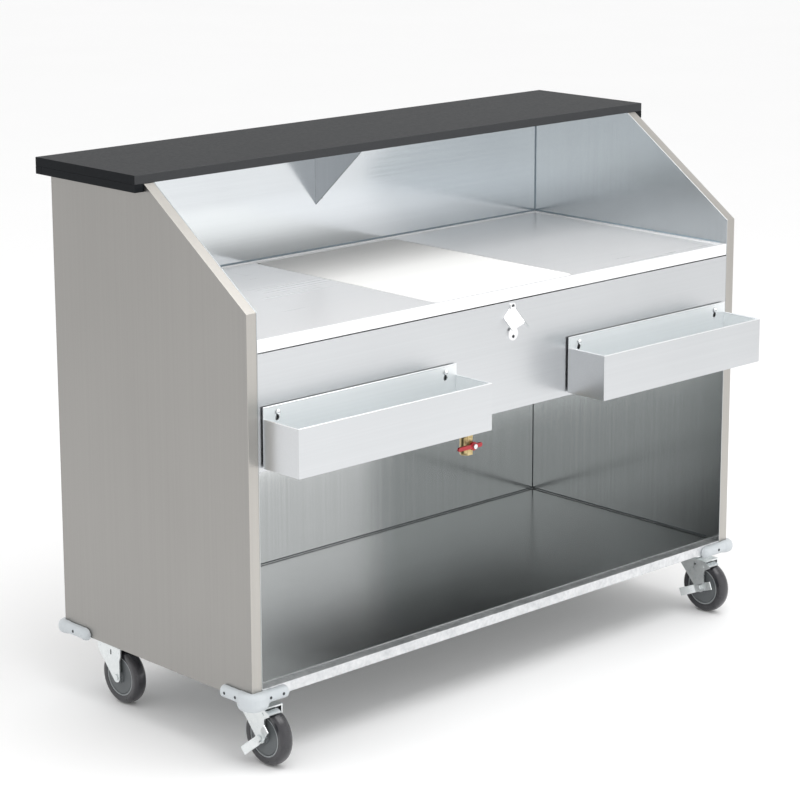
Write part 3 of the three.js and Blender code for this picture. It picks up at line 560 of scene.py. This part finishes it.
@dataclass
class BottleRails:
    """Two hanging troughs and the screw heads that they hang on."""

    bend: float = 0.7 * MM
    inner_inset: float = 33.5 * MM
    outer_inset: float = 37.5 * MM
    below_top: float = 14.5 * MM
    head_radius: float = 5.2 * MM
    head_height: float = 2.6 * MM
    flange: float = 26 * MM
    hem_radius: float = 1.5 * MM
    sheet: float = 1.9 * MM
    standoff: float = 5.5 * MM

    def build(self, maker: Maker) -> None:
        """Softens the troughs and adds a domed head over each stud."""
        for sign, side in ((-1, "left"), (1, "right")):
            node = f"bottle_rail_{side}"
            low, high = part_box(node)
            wall = self.sheet

            def is_inside(centre: Vector, normal: Vector) -> bool:
                """Whether a face looks into the trough."""
                across = low.x + wall < centre.x < high.x - wall
                return across and low.y + wall < centre.y < high.y - wall / 2 and centre.z > low.z + wall

            # The trough's inside faces get the paler finish: painted light.
            maker.from_node(f"rail_trough_{side}", node, STEEL_X, node, self.bend,
                            second=STEEL_TROUGH_PAINTED_LIGHT, where=is_inside)
            self.hem(maker, side, low, high)
            inner, outer = (low.x, high.x) if sign > 0 else (high.x, low.x)
            heads = {"inner": inner + sign * self.inner_inset, "outer": outer - sign * self.outer_inset}
            for place, x in heads.items():
                self.head(maker, f"rail_screw_{side}_{place}", Vector((x, high.y, high.z - self.below_top)))

    def hem(self, maker: Maker, side: str, low: Vector, high: Vector) -> None:
        """Folds a thin round hem inwards along the trough's rim and the back sheet's top."""
        rim = high.z - self.flange + 0.4 * MM
        back = high.z - self.hem_radius
        r = self.hem_radius
        front = low.y + r
        ends = {"end_a": (low.x + r, Axis.Y), "end_b": (high.x - r, Axis.Y)}
        bm = bmesh.new()
        self.rod(bm, Axis.X, (front, rim), low.x + 0.2 * MM, high.x - 0.2 * MM)
        for x, along in ends.values():
            self.rod(bm, along, (x, rim), low.y + 0.2 * MM, high.y - 2 * MM)
        self.rod(bm, Axis.X, (high.y - r, back), low.x + 0.2 * MM, high.x - 0.2 * MM)
        # The hem rods are drawn near white: a painted highlight along the rims.
        maker.piece(f"rail_hem_{side}", bm, STEEL_HEM_PAINTED_HIGHLIGHT, f"bottle_rail_{side}")

    def rod(self, bm: bmesh.types.BMesh, along: Axis, centre: tuple[float, float], low: float,
            high: float) -> None:
        """Adds a round rod of the hem's radius along an axis."""
        angles = [math.tau * step / 12 for step in range(12)]
        u, v = centre
        outline = [(u + self.hem_radius * math.cos(a), v + self.hem_radius * math.sin(a)) for a in angles]
        prism(bm, outline, along, low, high)

    def head(self, maker: Maker, name: str, foot: Vector) -> None:
        """Adds one domed head in front of the rail's back sheet."""
        bm = bmesh.new()
        front = -self.standoff
        dome = [(0.0, front - self.head_height)]
        for step in range(1, 6):
            angle = step * math.pi / 10
            dome.append((self.head_radius * math.sin(angle), front - self.head_height * math.cos(angle)))
        dome.append((0.0, front))
        turned(bm, dome, Axis.Y, foot, 32)
        maker.piece(name, bm, NICKEL, "body")


@dataclass
class BottleOpener:
    """The wall opener on the apron: ear, flared hood and round foot."""

    def build(self, maker: Maker) -> None:
        """Softens the opener and adds its two screws."""
        maker.from_node("opener", "bottle_opener", NICKEL, "body", 0.9 * MM, 4)
        low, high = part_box("bottle_opener")
        upper = ("upper", high.z - 7 * MM, high.y - 3 * MM)
        lower = ("lower", low.z + 9 * MM, high.y - 4 * MM)
        for name, z, y in (upper, lower):
            bm = bmesh.new()
            turned(bm, [(0.0, -2.0 * MM), (2.4 * MM, -1.7 * MM), (3.6 * MM, -0.6 * MM), (3.8 * MM, 0.2 * MM),
                        (0.0, 0.2 * MM)], Axis.Y, Vector((0.0, y, z)), 24)
            maker.piece(f"opener_screw_{name}", bm, DARK_SCREW, "body")


@dataclass
class DrainValve:
    """The brass ball valve under the ice bin, with its red handle."""

    def build(self, maker: Maker) -> None:
        """Softens the forged body and the dipped handle and dresses them."""
        maker.from_node("drain_pipe", "drain_nipple", BRASS, "body", 0.4 * MM)
        maker.from_node("valve_forging", "valve_body", BRASS, "body", 0.5 * MM)
        maker.from_node("valve_grip", "valve_handle", RED_DIP, "valve_handle", 1.4 * MM, 4)
        maker.from_node("valve_spindle", "valve_stem", ZINC, "valve_handle", 0.4 * MM)
        maker.from_node("valve_sphere", "valve_ball", STEEL_WALL_PAINTED_LIGHT, "valve_handle",
                        0.2 * MM)


@dataclass
class CornerBumpers:
    """Four moulded bumpers round the body's lower corners."""

    voxel: float = 1.4 * MM
    screw_radius: float = 3.3 * MM
    screw_depth: float = 0.4 * MM
    screw_z: float = 158.5 * MM
    proud: float = 15 * MM

    def build(self, maker: Maker) -> None:
        """Melts each bumper's arms and elbow into one moulding and adds its screws."""
        for side in SIDES:
            node = f"bumper_{side}"
            name = f"corner_guard_{side}"
            bm = bmesh.new()
            bm.from_mesh(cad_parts[node].data)
            bmesh.ops.remove_doubles(bm, verts=bm.verts, dist=1e-5)
            made = maker.piece(name, bm, BUMPER_VINYL, "body", [node])
            made.modifiers.clear()
            melt = made.modifiers.new("moulding", "REMESH")
            melt.mode = "VOXEL"
            melt.voxel_size = self.voxel
            melt.use_smooth_shade = True
            smooth = made.modifiers.new("fillets", "SMOOTH")
            smooth.factor = 0.6
            smooth.iterations = 6
            self.screws(maker, side)

    def screws(self, maker: Maker, side: str) -> None:
        """Sets the sunk screws into the arms along X and along Y."""
        inwards_x = 1 if "left" in side else -1
        inwards_y = 1 if "front" in side else -1
        left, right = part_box("side_panel_left")[0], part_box("side_panel_right")[1]
        face_x = (left.x if inwards_x > 0 else right.x) - inwards_x * self.proud
        face_y = (left.y if inwards_y > 0 else right.y) - inwards_y * self.proud
        distances = (53 * MM, 88 * MM) if side in ("front_left", "rear_right") else (60 * MM,)
        for number, distance in enumerate(distances):
            on_x = Vector((face_x + inwards_x * distance, face_y, self.screw_z))
            on_y = Vector((face_x, face_y + inwards_y * distance, self.screw_z))
            for arm, foot, along in (("x", on_x, Axis.Y), ("y", on_y, Axis.X)):
                bm = bmesh.new()
                radius, depth = self.screw_radius, self.screw_depth
                turned(bm, [(0.0, -depth), (radius, -depth), (radius, depth), (0.0, depth)], along, foot, 20)
                maker.piece(f"guard_screw_{side}_{arm}{number}", bm, DARK_SCREW, "body")


@dataclass
class Caster:
    """One swivel caster: plate, fork, axle, wheel and, on the front two, a brake."""

    side: str
    radius: float = 63.5 * MM
    rim: float = 45.0 * MM
    groove: float = 41.2 * MM

    def build(self, maker: Maker) -> None:
        """Builds the caster's pieces on their own bodies."""
        prefix = f"caster_{self.side}"
        swivel = f"swivel_{self.side}"
        maker.from_node(f"{prefix}_top_plate", f"{prefix}_plate", ZINC, "body", 0.8 * MM)
        maker.from_node(f"{prefix}_yoke", f"{prefix}_fork", ZINC, swivel, 1.5 * MM, 4)
        maker.from_node(f"{prefix}_bolt", f"{prefix}_axle", ZINC, swivel, 0.6 * MM)
        if self.side in BRAKED:
            lever, shoe = f"{prefix}_brake_lever", f"{prefix}_brake_shoe"
            maker.from_node(f"{prefix}_pedal", lever, ZINC, f"brake_lever_{self.side}",
                            0.6 * MM)
            maker.from_node(f"{prefix}_brake_plate", shoe, ZINC, f"brake_shoe_{self.side}",
                            0.6 * MM)
        self.wheel(maker, prefix)

    def wheel(self, maker: Maker, prefix: str) -> None:
        """Turns the tread and the wheel centre on the axle."""
        low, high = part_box(f"{prefix}_tyre")
        centre = Vector(((low.x + high.x) / 2, (low.y + high.y) / 2, self.radius))
        body = f"wheel_{self.side}"
        bm = bmesh.new()
        turned(bm, self.tread_profile(), Axis.X, centre, 128)
        maker.piece(f"{prefix}_tread", bm, TREAD, body, [f"{prefix}_tyre"])
        bm = bmesh.new()
        turned(bm, self.centre_profile(), Axis.X, centre, 128)

        def is_rim(place: Vector, normal: Vector) -> bool:
            """Whether a face is outside the groove round the disc."""
            return math.hypot(place.y - centre.y, place.z - centre.z) > self.groove

        maker.piece(f"{prefix}_centre", bm, HUB_NYLON, body, [f"{prefix}_hub"],
                    second=HUB_RIM, where=is_rim)

    def tread_profile(self) -> list[tuple[float, float]]:
        """The tread's section: flat at the rim and rounded over the crown."""
        half = [(self.rim + 0.2 * MM, 14.8 * MM), (49 * MM, 15.4 * MM), (53 * MM, 15.7 * MM)]
        crown = 10.5 * MM
        for step in range(1, 13):
            angle = step * math.pi / 24
            half.append((self.radius - crown * (1 - math.sin(angle) ** 0.8), 15.7 * MM * math.cos(angle)))
        return half + [(r, -x) for r, x in reversed(half[:-1])]

    def centre_profile(self) -> list[tuple[float, float]]:
        """The wheel centre's section: a bore, a boss, a flat disc, a groove and a rim."""
        half = [(6.5, 19.2), (13.5, 19.2), (14.5, 18.2), (15.2, 13.3), (39.6, 13.3), (40.2, 12.4),
                (40.8, 10.6), (41.4, 12.8), (42.2, 14.3), (44.0, 14.3), (44.6, 13.8)]
        scaled = [(r * MM, x * MM) for r, x in half]
        return scaled + [(r, -x) for r, x in reversed(scaled)]


# ---- studio -------------------------------------------------------------------------------------------


@dataclass
class Panel:
    """A soft light panel that faces a point."""

    name: str
    place: tuple[float, float, float]
    towards: tuple[float, float, float]
    size: tuple[float, float]
    power: float
    colour: str = "ffffff"

    def build(self) -> None:
        """Hangs the panel and turns it."""
        data = bpy.data.lights.new(self.name, "AREA")
        data.shape = "RECTANGLE"
        data.size, data.size_y = self.size
        data.energy = self.power
        data.color = srgb(self.colour)[:3]
        made = bpy.data.objects.new(self.name, data)
        bpy.context.scene.collection.objects.link(made)
        made.location = self.place
        made.rotation_euler = (Vector(self.towards) - made.location).to_track_quat("-Z", "Y").to_euler()
        made.visible_camera = False


@dataclass
class Studio:
    """Pale floor, soft light and the camera."""

    eye: tuple[float, float, float] = (-3.950, -4.1015, 2.077)
    yaw: float = 43.354
    pitch: float = 12.642
    roll: float = -0.157
    lens: float = 114.9
    shift: float = -0.1
    floor_side: float = 60.0

    def build(self) -> None:
        """Builds the floor, lights and camera."""
        self.floor()
        self.lights()
        self.camera()
        bpy.context.scene.view_settings.view_transform = "Standard"

    def floor(self) -> None:
        """Lays the pale floor."""
        bm = bmesh.new()
        bmesh.ops.create_grid(bm, x_segments=1, y_segments=1, size=self.floor_side / 2)
        mesh = bpy.data.meshes.new("floor")
        bm.to_mesh(mesh)
        bm.free()
        made = bpy.data.objects.new("floor", mesh)
        mesh.materials.append(FLOOR_PAINT.build())
        bpy.context.scene.collection.objects.link(made)

    def lights(self) -> None:
        """Fills the room softly, with broad panels above and in front."""
        world = bpy.data.worlds.new("studio")
        world.use_nodes = True
        world.node_tree.nodes["Background"].inputs[0].default_value = srgb("fdfdfd")
        world.node_tree.nodes["Background"].inputs[1].default_value = 1.0
        bpy.context.scene.world = world
        Panel("overhead", (0.0, -1.2, 3.4), (0.0, 0.1, 0.9), (3.6, 2.4), 62.0).build()
        Panel("front_fill", (1.2, -4.2, 1.5), (0.0, 0.2, 0.7), (3.6, 2.4), 10.0).build()

    def camera(self) -> None:
        """Sets the camera at the three-quarter view from the bartender's left."""
        data = bpy.data.cameras.new("camera")
        data.lens = self.lens
        data.shift_y = self.shift
        made = bpy.data.objects.new("camera", data)
        bpy.context.scene.collection.objects.link(made)
        yaw, pitch = math.radians(self.yaw), math.radians(self.pitch)
        ahead = Vector((math.sin(yaw) * math.cos(pitch), math.cos(yaw) * math.cos(pitch), -math.sin(pitch)))
        aim = ahead.to_track_quat("-Z", "Y").to_matrix().to_4x4()
        roll = Matrix.Rotation(math.radians(self.roll), 4, "Z")
        made.matrix_world = Matrix.Translation(self.eye) @ aim @ roll
        bpy.context.scene.camera = made


def main() -> None:
    """Builds the studio and every sub-assembly in order."""
    logging.basicConfig(level=logging.INFO, format="%(name)s: %(message)s")
    maker = Maker()
    Studio().build()
    parts = [SheetBody(), GuestCounter(), CuttingBoard(), BottleRails(), BottleOpener(), DrainValve(),
             CornerBumpers()]
    for part in parts + [Caster(side) for side in SIDES]:
        part.build(maker)
    log.info("%d pieces", len(maker.made))


if __name__ == "__main__":
    main()
